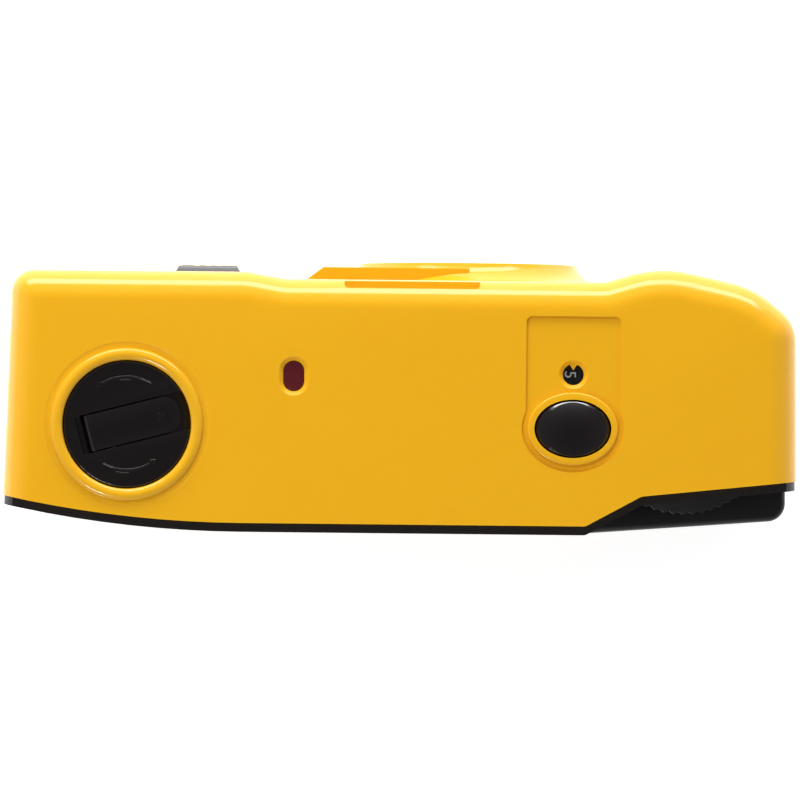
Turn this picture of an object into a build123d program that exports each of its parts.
"""Compact 35 mm film camera, in millimetres.

+X points to the rewind side, -Y is the front with the lens, +Y is the film door and +Z is up.
The origin lies on the base, under the middle of the body's width.
"""
from build123d import *
from math import cos, degrees, radians, sin, sqrt
import os

# Walls and gaps
cover_wall = 1.8
chassis_wall = 1.4
fit_gap = 0.15
run_gap = 0.3
shaft_gap = 0.06
seat_gap = 0.02
overrun = 6.0

# What the camera is built round: film, cartridge and battery
cartridge_radius = 12.5
cartridge_height = 43.2
cartridge_gap = 0.25
film_height = 35.0
perforation_inset = 3.4
perforation_pitch = 4.75
sprocket_teeth = 8
gate_width = 36.0
gate_height = 24.0
battery_radius = 5.25
battery_height = 44.5
battery_gap = 0.35

# Rows of rooms across the width and up the height
chamber_wall = 1.3
takeup_radius = 11.0
takeup_wall = 1.2
bay_wall = 1.2
side_room = 2.2
gate_margin = 4.4
spool_margin = 0.7
end_gap = 0.5
base_room = 4.45
top_room = 10.95

# Body outline in plan
front_depth = 17.55
seam_depth = 17.4
rear_reach = 4.6
side_draft = 1.3
flash_rise = 0.95
grip_rise = 2.35
grip_fall = 0.65
grip_side = 5.65
grip_draft = 0.4
flash_end_share = 0.384
flash_foot_share = 0.291
grip_foot_share = 0.514
grip_crown_share = 0.649
grip_shoulder_share = 0.886
flash_corner_radius = 3.2
flash_step_radius = 6.0
grip_foot_radius = 2.5
grip_crown_radius = 18.0
grip_shoulder_radius = 14.0
grip_corner_radius = 5.5
top_fillet = 4.2
bottom_fillet = 3.0

# Rear seam in plan
seam_flare = 2.0
seam_fall = 4.1
seam_bend_share = 0.675
seam_bend_radius = 160.0
seam_step = 4.35
seam_step_start_share = 0.467
seam_step_end_share = 0.607
seam_step_radius = 1.2
seam_tail = 2.55
band = 1.3
band_inset = 0.2
band_drop = 1.2
strip_wall = 1.6

# Back door and its hinge
door_wall = 1.6
door_gap = 0.25
door_floor_z = 2.1
door_inset = 0.4
bulge_inset = 1.1
bulge_fall = 2.2
bulge_bend_radius = 30.0
bulge_corner_radius = 2.6
door_edge_radius = 1.2
door_fillet = 0.8
door_flange = 1.5
hinge_inset = 3.7
hinge_ahead = 3.1
hinge_pin_radius = 0.6
hinge_eye_radius = 1.3
hinge_sweep_radius = 3.5
hinge_arm_width = 2.0
hinge_arm_height = 6.0
hinge_end_room = 3.0
flange_gap = 1.0
door_edge_swing = 2.75
seal_depth = 0.5

# Film path
film_gap = 4.9
rail_depth = 0.3
outer_rail_rise = 0.4
rail_width = 1.1
film_plate_wall = 1.9
sprocket_body_height = 4.0
sprocket_body_drop = 1.25
sprocket_tooth_reach = 1.05
sprocket_tooth_radius = 0.8
sprocket_offset = 7.1
sprocket_shaft_radius = 1.5
pressure_wall = 0.8
pressure_gap = 0.1
pressure_margin = 2.4
pressure_corner = 2.0
leaf_wall = 0.3
leaf_width = 7.0

# Dark box, shutter and lens
lens_box_front = 5.0
box_front_width = 14.0
box_front_height = 10.0
box_wall = 1.2
shutter_width = 30.0
shutter_height = 27.0
shutter_gap = 1.2
shutter_wall = 1.2
shutter_boss_inset = 2.5
shutter_boss_radius = 1.4
shutter_hole_radius = 3.4
box_hole_radius = 4.6
blade_radius = 4.4
blade_wall = 0.4
blade_pivot_x = 8.5
blade_pivot_z = 5.5
blade_pin_radius = 0.7
lever_pivot_x = 11.5
lever_pivot_z = 9.0
lever_wall = 0.7
lever_arm = 7.3
lever_tail = 5.0
lever_width = 1.6
lever_lean = 23.0
barrel_radius = 8.0
barrel_bore = 5.6
barrel_length = 10.0
barrel_foot_radius = 9.5
barrel_foot = 1.0
lens_radius = 6.55
lens_edge = 2.0
lens_clear_radius = 5.3
lens_bulge = 0.8
lens_hollow = 0.7
retainer_wall = 1.3
aperture_radius = 1.55
aperture_wall = 0.3
torsion_radius = 1.5
torsion_wire = 0.18

# Lens ring and panel on the cover
ring_depth = 3.85
ring_radius = 16.0
ring_bore = 13.2
flare_radius = 20.5
flare_mid_share = 0.27
panel_depth = 2.75
panel_reach = 22.3
panel_slope = 4.2
panel_height = 34.0
panel_corner = 3.0
bezel_flange = 1.4
bezel_flange_wall = 0.8
bezel_face_drop = 0.2
baffle_steps = 3

# Viewfinder
finder_x = -1.6
finder_front_width = 17.4
finder_rear_width = 12.0
finder_height = 8.4
finder_wall = 0.9
finder_gap = 0.6
finder_window_width = 15.6
finder_window_height = 6.2
finder_window_radius = 1.0
finder_lens_wall = 1.5
eyepiece_width = 9.6
eyepiece_height = 6.4
notch_width = 19.4
notch_drop = 2.9
notch_depth = 1.25
notch_corner = 0.7

# Flash
flash_width = 26.0
flash_height = 11.0
flash_corner = 2.0
flash_pane_wall = 1.7
flash_flange = 1.0
flash_flange_wall = 0.8
flash_top_gap = 5.2
reflector_depth = 4.4
reflector_wall = 0.5
tube_radius = 1.3
tube_cap = 1.0
board_wall = 1.0
board_height = 37.0
board_width = 27.0
board_standoff = 4.1
board_boss_radius = 1.6
board_boss_inset = 2.2
board_floor_z = 6.5
capacitor_radius = 5.0
capacitor_height = 31.0
capacitor_depth = 9.5
transformer_width = 9.5
transformer_height = 10.0
transformer_depth = 2.8
coil_radius = 1.35
coil_length = 10.0
lamp_x = 15.2
lamp_y = -3.65
lamp_radius = 1.45
lamp_height = 3.7
lamp_post = 5.0
window_slot_width = 3.0
window_slot_length = 4.4
window_rim = 0.6
window_flange = 0.8

# Flash switch
switch_z = 39.0
switch_x = 28.9
switch_travel = 6.0
switch_width = 9.8
switch_height = 6.5
switch_rise = 1.7
switch_stem_width = 4.0
switch_stem_height = 2.4
switch_track = 0.5
switch_plate_wall = 0.8
switch_grooves = 3
groove_depth = 0.35
groove_pitch = 1.6
leaf_contact_width = 1.5

# Rewind knob, crank and shaft
knob_y = 3.5
knob_radius = 9.05
knob_height = 4.0
knob_proud = 0.1
knob_ring_radius = 10.85
knob_ring_rise = 0.6
knob_moat_radius = 0.8
knob_moat_depth = 0.25
knob_well_depth = 4.6
knob_well_wall = 1.0
crank_turn = 194.5
crank_width = 5.3
crank_height = 1.4
crank_slot_depth = 2.0
crank_slot_end = 7.0
crank_pivot = 5.2
crank_tip = 7.7
crank_pin_radius = 0.45
shaft_radius = 2.6
fork_depth = 4.1
fork_blade = 1.6
fork_height = 3.5
rewind_lift = 6.0
collar_radius = 4.0
collar_height = 1.6

# Advance wheel, spool and ratchet
spool_y = 2.5
wheel_radius = 13.2
wheel_height = 3.6
knurls = 60
knurl_depth = 0.4
ratchet_radius = 10.2
ratchet_depth = 0.9
ratchet_teeth = 24
ratchet_height = 1.3
spool_radius = 5.4
spool_flange_radius = 7.4
spool_flange_wall = 1.0
spool_slot_width = 1.3
spool_slot_height = 26.0
spool_slots = 3
spool_shaft_radius = 2.5
journal_radius = 3.0
spool_bore = 1.6
pawl_pivot_turn = -42.0
pawl_pivot_radius = 12.0
pawl_tip_turn = -68.0
pawl_tip_radius = 11.3
pawl_nose_radius = 10.5
pawl_width = 1.0
pawl_eye_radius = 1.4
pawl_pin_radius = 0.7
pawl_wall = 0.9

# Shutter button, release lever and frame counter
button_x = -24.7
button_length = 10.5
button_width = 7.85
button_gap = 0.25
button_dome_radius = 17.2
button_proud = 0.4
button_rim_length = 12.85
button_rim_width = 10.4
button_rim_rise = 0.25
button_moat_length = 14.6
button_moat_width = 12.4
button_flange = 0.9
button_flange_wall = 0.6
button_travel = 0.8
button_stem_radius = 1.5
button_stem_round = 0.8
guide_radius = 2.4
guide_height = 2.6
guide_rib = 1.0
spring_wire = 0.2
spring_turns = 4
panel_width = 13.5
counter_panel_depth = 0.35
counter_panel_front = 5.0
counter_panel_corner = 0.9
counter_window_offset = 7.75
counter_window_radius = 1.5
counter_rim = 0.55
pointer_width = 1.3
pointer_reach = 0.9
dial_radius = 7.2
dial_number_radius = 5.65
dial_wall = 1.2
dial_teeth = 40
dial_tooth_depth = 0.4
dial_post_radius = 1.9
dial_pin_radius = 0.9
dial_gap = 1.8
finger_radius = 3.3
finger_width = 1.2
rocker_width = 2.2
rocker_wall = 1.6
rocker_pivot_ahead = 5.9
rocker_front = 7.2
rocker_rear = 1.1
rocker_lift = 1.2
rocker_pin_radius = 0.7
rocker_leg = 7.2
rocker_leg_wall = 1.0
rocker_foot = 1.6
rocker_post_wall = 0.9
rocker_post_length = 2.0

# Rewind release under the take-up spool
release_head_radius = 2.6
release_flange_radius = 3.2
release_flange_wall = 0.8
release_rod_radius = 1.2
release_rod_length = 9.0
release_travel = 1.2

# Battery door
hatch_half = 6.6
hatch_wall = 1.5
hatch_hinge_gap = 7.2
hatch_knuckle_radius = 0.8
hatch_knuckle_half = 3.5
hatch_edge_gap = 1.7
hatch_pin_radius = 0.5
hatch_pin_half = 6.0
hatch_grip_width = 5.0
hatch_grip_depth = 0.5
nub_radius = 1.9
nub_height = 0.9
contact_wall = 0.5
contact_gap = 0.1

# Door latch
latch_y = 8.0
latch_z = 28.5
latch_travel = 3.0
latch_width = 6.0
latch_height = 8.0
latch_wall = 0.6
latch_plate_margin = 0.5
latch_recess = 0.9
latch_proud = 0.2
latch_stem_width = 1.7
latch_spring_radius = 0.55
latch_spring_wire = 0.12
latch_spring_length = 7.3
latch_nose = 1.1
latch_reach = 4.2
catch_wall = 0.5
catch_height = 4.0

# Strap bar
strap_y = -6.0
strap_z = 42.0
strap_length = 8.0
strap_width = 6.0
strap_depth = 4.0
strap_bar_radius = 0.75
strap_bar_depth = 1.0
strap_wall = 1.0

# Screws
screw_head_radius = 1.9
screw_head_height = 0.85
screw_radius = 0.95
screw_length = 7.0
screw_boss_radius = 2.2
screw_boss_height = 5.0
screw_spread_share = 0.8
screw_front = 7.5
screw_rear = 6.0
screw_slot = 0.5

# Places worked out from the rooms
chamber_radius = cartridge_radius + cartridge_gap
bay_radius = battery_radius + battery_gap
shell_gap = cover_wall + fit_gap
chamber_span = 2 * (chamber_radius + chamber_wall)
takeup_span = 2 * (takeup_radius + takeup_wall)
bay_span = 2 * bay_radius + bay_wall
body_width = (2 * (cover_wall + side_room) + chamber_span + bay_span + gate_margin + gate_width
              + spool_margin + takeup_span)
half_width = body_width / 2
cartridge_x = half_width - cover_wall - side_room - chamber_wall - chamber_radius
battery_x = cartridge_x - chamber_radius - chamber_wall - bay_radius
lens_x = battery_x - bay_radius - bay_wall - gate_margin - gate_width / 2
spool_x = lens_x - gate_width / 2 - spool_margin - takeup_wall - takeup_radius

chamber_floor_z = shell_gap + base_room
film_z = chamber_floor_z + end_gap + cartridge_height / 2
deck_z = film_z + cartridge_height / 2 + end_gap
deck_top_z = deck_z + chassis_wall
ceiling_z = deck_z + top_room
body_height = ceiling_z + shell_gap
chassis_floor_z = shell_gap
floor_deck_z = chassis_floor_z + chassis_wall
wall_top_z = body_height - cover_wall

front_y = -front_depth
flash_y = front_y - flash_rise
flash_inner_y = flash_y + cover_wall
front_inner_y = front_y + cover_wall
rear_y = seam_depth + rear_reach
film_y = seam_depth - film_gap
plate_rear_y = film_y - rail_depth
plate_front_y = plate_rear_y - film_plate_wall
battery_y = plate_front_y - bay_wall - bay_radius
chamber_front_y = knob_y - chamber_radius - chamber_wall
door_top_z = deck_z - run_gap + shaft_gap
sprocket_radius = perforation_pitch * sprocket_teeth / radians(360)
sprocket_x = lens_x - sprocket_offset
sprocket_y = film_y - sprocket_radius
sprocket_z = film_z + film_height / 2 - perforation_inset
sprocket_floor_z = sprocket_z - sprocket_body_drop
box_front_y = -lens_box_front
box_face_y = box_front_y - box_wall
shutter_rear_y = box_face_y - shutter_gap
shutter_front_y = shutter_rear_y - shutter_wall
barrel_front_y = shutter_front_y - barrel_length
ring_y = front_y - ring_depth
finder_z = deck_top_z + shaft_gap + finder_height / 2
hinge_x = -half_width + hinge_inset
bulge_x = -half_width + bulge_inset
door_y = seam_depth + band
bulge_y = door_y - bulge_fall
hinge_y = bulge_y - hinge_ahead
wheel_z = deck_top_z + run_gap + ratchet_height
dial_x = button_x + dial_number_radius
counter_y = knob_y - counter_window_offset
panel_z = body_height - counter_panel_depth
button_flange_z = wall_top_z - fit_gap - button_flange_wall
dial_top_z = ceiling_z - dial_gap + fit_gap
dial_z = dial_top_z - dial_wall
rocker_z = deck_top_z + rocker_lift
rocker_top_z = rocker_z + rocker_wall
rocker_y = knob_y - rocker_pivot_ahead
knob_top_z = body_height + knob_proud
knob_floor_z = knob_top_z - knob_height
fork_z = film_z + cartridge_height / 2 - fork_depth
hatch_hinge_y = battery_y + hatch_hinge_gap
hatch_hinge_z = cover_wall / 2
battery_top_z = deck_z - contact_wall - contact_gap
battery_floor_z = battery_top_z - battery_height
side_slope = side_draft / (rear_y - flash_y)
latch_side_x = half_width - side_slope * (rear_y - latch_y + latch_width / 2)
strap_bar_x = half_width - side_slope * (rear_y - strap_y) - strap_bar_depth
latch_face_x = latch_side_x - latch_recess
latch_inner_x = latch_side_x - cover_wall - fit_gap
catch_x = cartridge_x + chamber_radius + chamber_wall + door_gap
latch_spring_x = (catch_x + latch_inner_x) / 2
flash_z = wall_top_z - flash_top_gap - flash_height / 2
board_y = flash_inner_y + board_standoff
finder_front_y = front_inner_y + finder_gap
reflector_y = flash_inner_y + fit_gap / 2 + flash_flange_wall + shaft_gap
tube_y = reflector_y + reflector_depth / 2

plan_points = [
    (half_width, rear_y),
    (half_width - side_draft, flash_y),
    (half_width * flash_end_share, flash_y),
    (half_width * flash_foot_share, front_y),
    (-half_width * grip_foot_share, front_y),
    (-half_width * grip_crown_share, front_y - grip_rise),
    (-half_width * grip_shoulder_share, front_y + grip_fall),
    (-half_width + grip_draft, front_y + grip_side),
    (-half_width, rear_y),
]
plan_radii = [flash_corner_radius, flash_step_radius, flash_step_radius, grip_foot_radius,
              grip_crown_radius, grip_shoulder_radius, grip_corner_radius]
seam_points = [
    (half_width + seam_flare, seam_depth - seam_fall),
    (half_width * seam_bend_share, seam_depth),
    (-half_width * seam_step_start_share, seam_depth),
    (-half_width * seam_step_end_share, seam_depth - seam_step),
    (-half_width - seam_flare, seam_depth - seam_step - seam_tail),
]
seam_radii = [seam_bend_radius, seam_step_radius, seam_step_radius]


# Small helpers
def slab(x0, x1, y0, y1, z0, z1):
    """Block between two corners."""
    return Pos((x0 + x1) / 2, (y0 + y1) / 2, (z0 + z1) / 2) * Box(x1 - x0, y1 - y0, z1 - z0)


def rod_x(radius, x0, x1, y, z):
    """Cylinder along X."""
    return Pos((x0 + x1) / 2, y, z) * Rot(0, 90, 0) * Cylinder(radius, x1 - x0)


def rod_y(radius, y0, y1, x, z):
    """Cylinder along Y."""
    return Pos(x, (y0 + y1) / 2, z) * Rot(90, 0, 0) * Cylinder(radius, y1 - y0)


def rod_z(radius, z0, z1, x, y):
    """Cylinder along Z."""
    return Pos(x, y, (z0 + z1) / 2) * Cylinder(radius, z1 - z0)


def ring_z(outer, inner, z0, z1, x, y):
    """Ring with its axis along Z."""
    return rod_z(outer, z0, z1, x, y) - rod_z(inner, z0 - overrun, z1 + overrun, x, y)


def front_plate(sketch, x, z, y0, y1):
    """Sketch of an X and Z outline, centred at x and z, made solid from y0 back to y1."""
    return extrude(Plane.XZ.offset(-y1) * Pos(x, z) * sketch, y1 - y0)


def side_plate(sketch, x0, x1):
    """Sketch of a Y and Z outline made solid from x0 to x1."""
    return extrude(Plane.YZ.offset(x0) * sketch, x1 - x0)


def flat_plate(sketch, x, y, z0, z1):
    """Sketch of an X and Y outline, centred at x and y, made solid from z0 up to z1."""
    return extrude(Pos(x, y, z0) * sketch, z1 - z0)


def turned_y(points, x, z):
    """Solid of revolution about a line along Y, from (radius, y) points."""
    return Pos(x, 0, z) * revolve(make_face(Polyline(*points, close=True)), Axis.Y)


def turned_z(points, x, y):
    """Solid of revolution about a line along Z, from (radius, z) points."""
    return Pos(x, y, 0) * revolve(Plane.XZ * make_face(Polyline(*points, close=True)), Axis.Z)


def star(count, tip, root, lean):
    """Toothed outline: each tooth falls from its tip to a root that lies a share of the pitch on."""
    step = radians(360) / count
    points = []
    for tooth in range(count):
        points.append((tip * cos(tooth * step), tip * sin(tooth * step)))
        points.append((root * cos((tooth + lean) * step), root * sin((tooth + lean) * step)))
    return make_face(Polyline(*points, close=True))


def coil(radius, wire, height, turns):
    """Helical spring that stands on Z = 0 and is height tall, wire included."""
    rise = height - 2 * wire
    path = Helix(rise / turns, rise, radius)
    section = Plane(origin=path @ 0, z_dir=path % 0) * Circle(wire)
    return Pos(0, 0, wire) * sweep(section, path)


def lever_link(sketch_points, width):
    """Flat lever outline: a band of constant width with round ends along the points."""
    line = Polyline(*sketch_points)
    return trace(line, line_width=width)


def polar(x, y, radius, turn):
    """Point at a radius and an angle in degrees about x and y."""
    return (x + radius * cos(radians(turn)), y + radius * sin(radians(turn)))


def plan_face(inset):
    """Plan of the body, set in from its walls and left long at the rear."""
    line = FilletPolyline(*plan_points, radius=plan_radii)
    face = make_face(line + Line(plan_points[-1], plan_points[0]))
    return offset(face, -inset) if inset else face


def body_block(inset):
    """Body form with rounded top and bottom edges, set in on every side and open-ended at the rear."""
    block = Pos(0, 0, inset) * extrude(plan_face(inset), body_height - 2 * inset)
    rim_y = rear_y - inset - fit_gap
    top = [edge for edge in block.edges().group_by(Axis.Z)[-1] if edge.center().Y < rim_y]
    block = fillet(top, top_fillet - inset)
    low = [edge for edge in block.edges().group_by(Axis.Z)[0] if edge.center().Y < rim_y]
    return fillet(low, bottom_fillet - inset)


def seam_block(shift):
    """Everything ahead of the rear seam, with the seam moved back by shift."""
    line = FilletPolyline(*[(x, y + shift) for x, y in seam_points], radius=seam_radii)
    far = -(front_depth + overrun)
    start = line @ 0
    end = line @ 1
    rest = Polyline(end, (end.X, far), (start.X, far), start)
    return Pos(0, 0, -overrun) * extrude(make_face(line + rest), body_height + 2 * overrun)


def door_face(inset):
    """Plan of everything ahead of the door's outer face, set in by inset."""
    bend_x = half_width * seam_bend_share
    slope = seam_fall / (half_width + seam_flare - bend_x)
    edge_x = half_width - door_inset
    points = [
        (edge_x, 0),
        (edge_x, door_y - (edge_x - bend_x) * slope),
        (bend_x, door_y),
        (-half_width * seam_step_start_share, door_y),
        (bulge_x, bulge_y),
        (bulge_x, 0),
    ]
    radii = [door_edge_radius, seam_bend_radius, bulge_bend_radius, bulge_corner_radius]
    line = FilletPolyline(*points, radius=radii)
    face = make_face(line + Line(points[-1], points[0]))
    return offset(face, -inset) if inset else face


def ellipse_rod(length, width, z0, z1):
    """Upright elliptical rod at the shutter button."""
    return flat_plate(Ellipse(length / 2, width / 2), button_x, knob_y, z0, z1)


# Cover
def cover_top_cuts():
    """Openings and sunk areas of the top plate."""
    over_z = body_height + overrun
    under_z = wall_top_z - overrun
    panel = slab(button_x - panel_width / 2, button_x + panel_width / 2,
                 front_y + counter_panel_front, knob_y, panel_z, over_z)
    panel = fillet(panel.edges().filter_by(Axis.Z).group_by(Axis.Y)[0], counter_panel_corner)
    moat = ellipse_rod(button_moat_length, button_moat_width, panel_z, over_z)
    knob_moat = Pos(cartridge_x, knob_y, body_height + knob_moat_radius - knob_moat_depth) * Torus(
        knob_ring_radius + knob_moat_radius / 2, knob_moat_radius)
    slot = SlotOverall(window_slot_length, window_slot_width, rotation=90)
    lamp_hole = flat_plate(slot, lamp_x, lamp_y, under_z, over_z)
    rim = SlotOverall(window_slot_length + 2 * window_rim, window_slot_width + 2 * window_rim, rotation=90)
    lamp_rim = extrude(Pos(lamp_x, lamp_y, body_height) * rim, -window_rim, taper=45)
    counter_x = button_x
    counter_hole = rod_z(counter_window_radius, under_z, over_z, counter_x, counter_y)
    tip_y = counter_y - counter_window_radius + pointer_reach
    base_y = counter_y - counter_window_radius - fit_gap
    pointer = make_face(Polyline((counter_x - pointer_width / 2, base_y), (counter_x + pointer_width / 2, base_y),
                                 (counter_x, tip_y), close=True))
    counter_hole -= Pos(0, 0, wall_top_z) * extrude(pointer, cover_wall - counter_panel_depth - counter_rim)
    counter_rim_cut = extrude(Pos(counter_x, counter_y, panel_z) * Circle(counter_window_radius + counter_rim),
                              -counter_rim, taper=45)
    return panel + moat, knob_moat, lamp_hole + lamp_rim, counter_hole + counter_rim_cut


def cover_front_forms():
    """Lens ring with its hollow flare, and the sloped panel beside it."""
    root_y = front_y + cover_wall / 2
    arc_mid = (ring_radius + flare_mid_share * (flare_radius - ring_radius),
               ring_y + (1 - flare_mid_share) * ring_depth - flare_mid_share * ring_depth / 2)
    profile = make_face(
        Polyline((flare_radius, front_y), (flare_radius, root_y), (0, root_y), (0, ring_y), (ring_radius, ring_y))
        + ThreePointArc((ring_radius, ring_y), arc_mid, (flare_radius, front_y)))
    flare = Pos(lens_x, 0, film_z) * revolve(profile, Axis.Y)
    foot_x = lens_x + panel_reach + panel_slope
    plan = Polyline((lens_x, root_y), (lens_x, front_y - panel_depth), (foot_x - panel_slope, front_y - panel_depth),
                    (foot_x, front_y), (foot_x, root_y), close=True)
    panel = Pos(0, 0, film_z - panel_height / 2) * extrude(make_face(plan), panel_height)
    outline = RectangleRounded(2 * (foot_x - lens_x), panel_height, panel_corner)
    return flare + (panel & front_plate(outline, lens_x, film_z, ring_y, root_y))


def front_cover():
    """Yellow moulded shell: front, top, sides and floor in one piece."""
    shell = body_block(0) - body_block(cover_wall)
    shell = shell + cover_front_forms() - body_block(cover_wall)
    shell &= seam_block(0)
    over_z = body_height + overrun

    knob_ring = rod_z(knob_ring_radius, wall_top_z, body_height + knob_ring_rise, cartridge_x, knob_y)
    knob_ring = fillet(knob_ring.edges().group_by(Axis.Z)[-1], knob_ring_rise - shaft_gap)
    panel, knob_moat, lamp_hole, counter_hole = cover_top_cuts()
    shell = shell - panel - knob_moat + knob_ring
    button_rim = ellipse_rod(button_rim_length, button_rim_width, wall_top_z, body_height + button_rim_rise)
    button_rim = fillet(button_rim.edges().group_by(Axis.Z)[-1], button_rim_rise)
    shell = shell + button_rim - lamp_hole - counter_hole
    shell -= ellipse_rod(button_length + 2 * button_gap, button_width + 2 * button_gap, ceiling_z - fit_gap, over_z)
    well = knob_radius + run_gap
    shell += rod_z(well + knob_well_wall, body_height - knob_well_depth, wall_top_z, cartridge_x, knob_y)
    shell -= rod_z(well, deck_top_z, over_z, cartridge_x, knob_y)

    notch = RectangleRounded(notch_width, 2 * notch_depth, notch_corner)
    shell -= flat_plate(notch, finder_x, front_y, body_height - notch_drop, over_z)
    finder_window = RectangleRounded(finder_window_width, finder_window_height, finder_window_radius)
    shell -= front_plate(finder_window, finder_x, finder_z, front_y - overrun, front_inner_y + overrun / 2)
    shell -= rod_y(ring_bore, ring_y - overrun, front_inner_y + overrun / 2, lens_x, film_z)
    flash_window_hole = RectangleRounded(flash_width, flash_height, flash_corner)
    shell -= front_plate(flash_window_hole, cartridge_x, flash_z, flash_y - overrun, flash_inner_y + overrun / 2)

    track = Rectangle(switch_width + switch_travel + 2 * run_gap, switch_height + 2 * run_gap)
    track_x = switch_x + switch_travel / 2
    shell -= front_plate(track, track_x, switch_z, flash_y - overrun, flash_y + switch_track)
    slot = Rectangle(switch_stem_width + switch_travel + 2 * run_gap, switch_stem_height + 2 * run_gap)
    shell -= front_plate(slot, track_x, switch_z, flash_y, flash_inner_y + overrun / 2)

    for x, z in board_bosses():
        shell += rod_y(board_boss_radius, flash_inner_y - seat_gap, board_y - board_wall, x, z)
    return cover_side_and_floor(shell)


def board_bosses():
    """Places in X and Z where the flash board stands off the cover."""
    left = cartridge_x - board_width / 2 + board_boss_inset
    right = cartridge_x + board_width / 2 - board_boss_inset
    low = board_floor_z + board_boss_inset
    high = board_floor_z + board_height - board_boss_inset
    return [(left, low), (right, low), (right, high)]


def screw_places():
    """Places in X and Y of the four floor screws."""
    spread = gate_width / 2 * screw_spread_share
    return [(lens_x + side * spread, y) for side in (-1, 1) for y in (-screw_front, screw_rear)]


def cover_side_and_floor(shell):
    """Latch recess, strap pocket, battery opening and screw holes."""
    out_x = half_width + overrun
    in_x = half_width - cover_wall
    recess = slab(latch_face_x, out_x, latch_y - latch_width / 2 - run_gap, latch_y + latch_width / 2 + run_gap,
                  latch_z - latch_height / 2 - run_gap, latch_z + latch_height / 2 + latch_travel + run_gap)
    stem_half = latch_height / 2 - latch_plate_margin
    slot = slab(in_x - overrun / 2, out_x, latch_y - latch_stem_width / 2 - run_gap,
                latch_y + latch_stem_width / 2 + run_gap, latch_z - stem_half - run_gap,
                latch_z + stem_half + latch_travel + run_gap)
    ledge_z = latch_z - latch_height / 2 - latch_spring_length
    ledge_half = latch_spring_radius + 2 * latch_spring_wire
    ledge = slab(latch_spring_x - ledge_half, in_x + cover_wall / 2, latch_y - ledge_half, latch_y + ledge_half,
                 ledge_z - strap_wall, ledge_z)
    pocket_x = half_width - strap_depth
    cup = slab(pocket_x - strap_wall, in_x + cover_wall / 2, strap_y - strap_width / 2 - strap_wall,
               strap_y + strap_width / 2 + strap_wall, strap_z - strap_length / 2 - strap_wall,
               strap_z + strap_length / 2 + strap_wall)
    pocket = slab(pocket_x, out_x, strap_y - strap_width / 2, strap_y + strap_width / 2,
                  strap_z - strap_length / 2, strap_z + strap_length / 2)
    bar_half = strap_length / 2 + strap_wall / 2 + seat_gap
    bar_hole = rod_z(strap_bar_radius + seat_gap, strap_z - bar_half, strap_z + bar_half,
                     strap_bar_x, strap_y)
    shell = shell - recess - slot + ledge + cup - pocket - bar_hole

    hatch = slab(battery_x - hatch_half - run_gap / 2, battery_x + hatch_half + run_gap / 2,
                 battery_y - hatch_half - run_gap / 2, hatch_hinge_y - hatch_edge_gap + run_gap,
                 -overrun, cover_wall + seat_gap)
    notch = slab(battery_x - hatch_knuckle_half - run_gap, battery_x + hatch_knuckle_half + run_gap,
                 battery_y, hatch_hinge_y + hatch_knuckle_radius + run_gap, -overrun, cover_wall + seat_gap)
    pin_hole = rod_x(hatch_pin_radius + seat_gap, battery_x - hatch_pin_half - seat_gap,
                     battery_x + hatch_pin_half + seat_gap, hatch_hinge_y, hatch_hinge_z)
    release_hole = rod_z(release_head_radius + fit_gap, -overrun, cover_wall + seat_gap, spool_x, spool_y)
    shell = shell - hatch - notch - pin_hole - release_hole
    for x, y in screw_places():
        shell -= rod_z(screw_head_radius + fit_gap, -overrun, screw_head_height + fit_gap, x, y)
        shell -= rod_z(screw_radius + fit_gap, -overrun, cover_wall + seat_gap, x, y)
    return shell


# Chassis
def chamber(x, y, radius, z0, z1, rear):
    """Round chamber that is open to the rear, as one solid."""
    return rod_z(radius, z0, z1, x, y) + slab(x - radius, x + radius, y, rear, z0, z1)


def dark_box(grow, front_y_value):
    """Tapered light path from the lens to the film gate, grown on every side."""
    gate = Rectangle(gate_width + 2 * grow, gate_height + 2 * grow)
    mouth = Rectangle(box_front_width + 2 * grow, box_front_height + 2 * grow)
    return loft([Plane.XZ.offset(-plate_front_y) * Pos(lens_x, film_z) * gate,
                 Plane.XZ.offset(-front_y_value) * Pos(lens_x, film_z) * mouth])


def chassis_walls():
    """Chambers, film plate, dark box, decks and shutter flange, before the hollows are cut."""
    room = body_block(shell_gap)
    left = -half_width
    rear = plate_rear_y
    outer = chamber_radius + chamber_wall
    walls = chamber(cartridge_x, knob_y, outer, chassis_floor_z, deck_top_z, rear)
    walls += chamber(spool_x, spool_y, takeup_radius + takeup_wall, chassis_floor_z, deck_top_z, rear)
    walls += rod_z(bay_radius + bay_wall, chassis_floor_z, deck_top_z, battery_x, battery_y)
    walls += slab(battery_x - bay_radius / 2, battery_x + bay_radius / 2, battery_y, plate_rear_y, chassis_floor_z,
                  deck_top_z)
    walls += slab(spool_x, cartridge_x, plate_front_y, plate_rear_y, chassis_floor_z, deck_top_z)
    walls += dark_box(box_wall, box_front_y)
    walls += front_plate(Rectangle(shutter_width, shutter_height), lens_x, film_z, box_face_y, box_front_y)
    ahead = seam_block(-door_gap - run_gap)
    walls = walls & ahead
    walls += slab(left, half_width, chamber_front_y, rear_y, deck_z, deck_top_z) & seam_block(-fit_gap)
    walls += slab(left, half_width, flash_y, rear_y, chassis_floor_z, floor_deck_z) & ahead
    flange_room = slab(left, half_width, 0, rear_y, 0, door_floor_z + door_flange + run_gap) - ahead
    return (walls & room) - flange_room


def rear_strip():
    """Black band behind the yellow top, with its inner wall."""
    outer = (seam_block(band) - seam_block(seat_gap)) & body_block(band_inset)
    outer &= slab(-half_width, half_width, 0, rear_y, deck_z, body_height - band_drop)
    inner = (seam_block(seat_gap) - seam_block(-strip_wall)) & body_block(shell_gap)
    inner &= slab(-half_width, half_width, 0, rear_y, deck_z, ceiling_z)
    return outer + inner


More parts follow.
